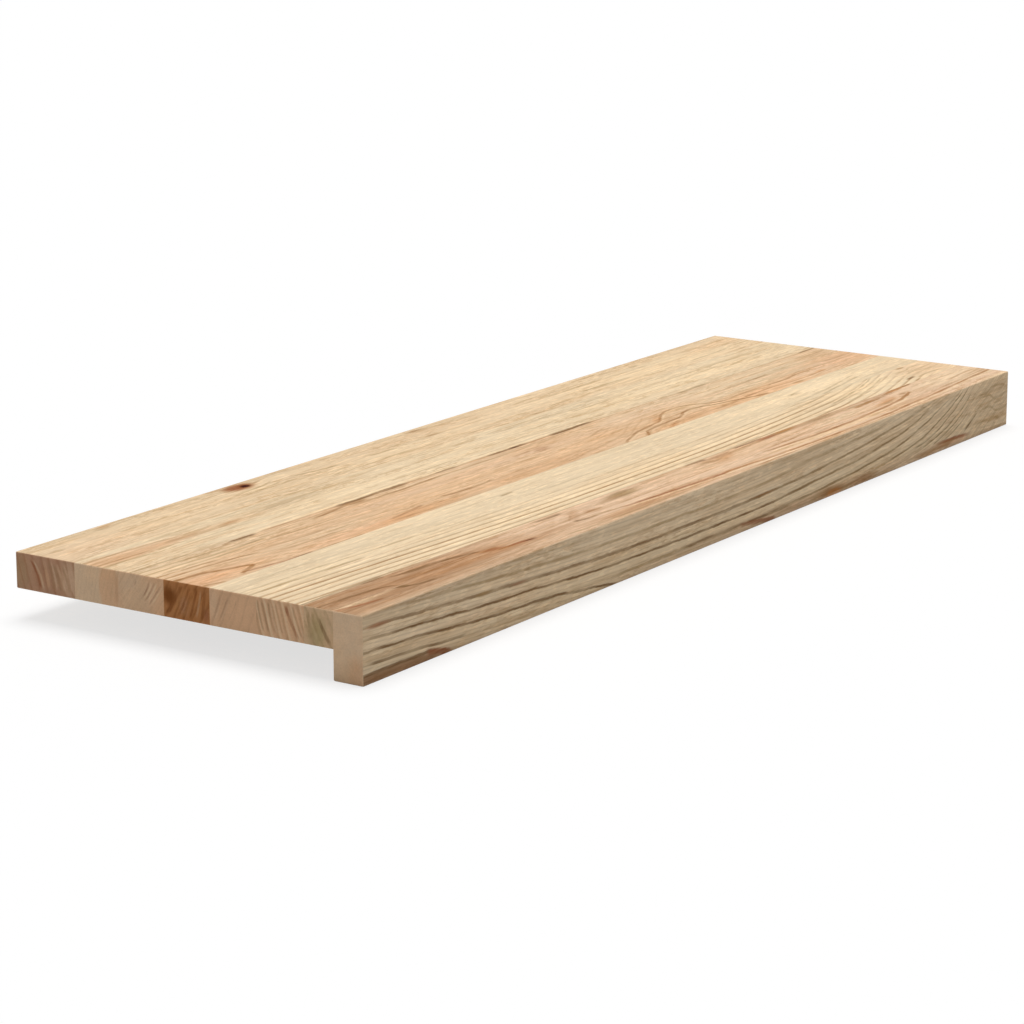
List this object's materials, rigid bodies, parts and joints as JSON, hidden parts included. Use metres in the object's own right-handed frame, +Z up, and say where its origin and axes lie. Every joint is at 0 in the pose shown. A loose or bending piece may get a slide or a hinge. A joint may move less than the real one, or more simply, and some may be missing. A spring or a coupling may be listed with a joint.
{
  "type": "stair tread",
  "caption": "Flat solid-oak stair tread, edge-glued from full-length staves, with a square nosing strip whose lip hangs below the front edge. Laid on a step as its walking surface.",
  "frame": {"origin": "under the middle of the tread, level with the foot of the nosing's lip", "axes": "+X along the tread, to the right seen from the front; -Y towards the front, where the nosing is; +Z up, out of the walking surface"},
  "size_m": [0.8, 0.25, 0.04],
  "materials": {
    "pale_tan_oak": "planed and sanded oak, matt clear oil",
    "cream_oak": "planed and sanded oak, matt clear oil",
    "two_tone_oak": "planed and sanded oak, matt clear oil",
    "heart_oak": "planed and sanded oak, matt clear oil",
    "striped_oak": "planed and sanded oak, matt clear oil",
    "red_brown_oak": "planed and sanded oak, matt clear oil",
    "grey_tan_oak": "planed and sanded oak, matt clear oil"
  },
  "bodies": {
    "root": {"stave_1": "pale_tan_oak", "stave_2": "cream_oak", "stave_3": "two_tone_oak", "stave_4": "heart_oak", "stave_5": "cream_oak", "stave_6": "striped_oak", "stave_7": "red_brown_oak", "nosing_strip": "grey_tan_oak"}
  },
  "joints": []
}
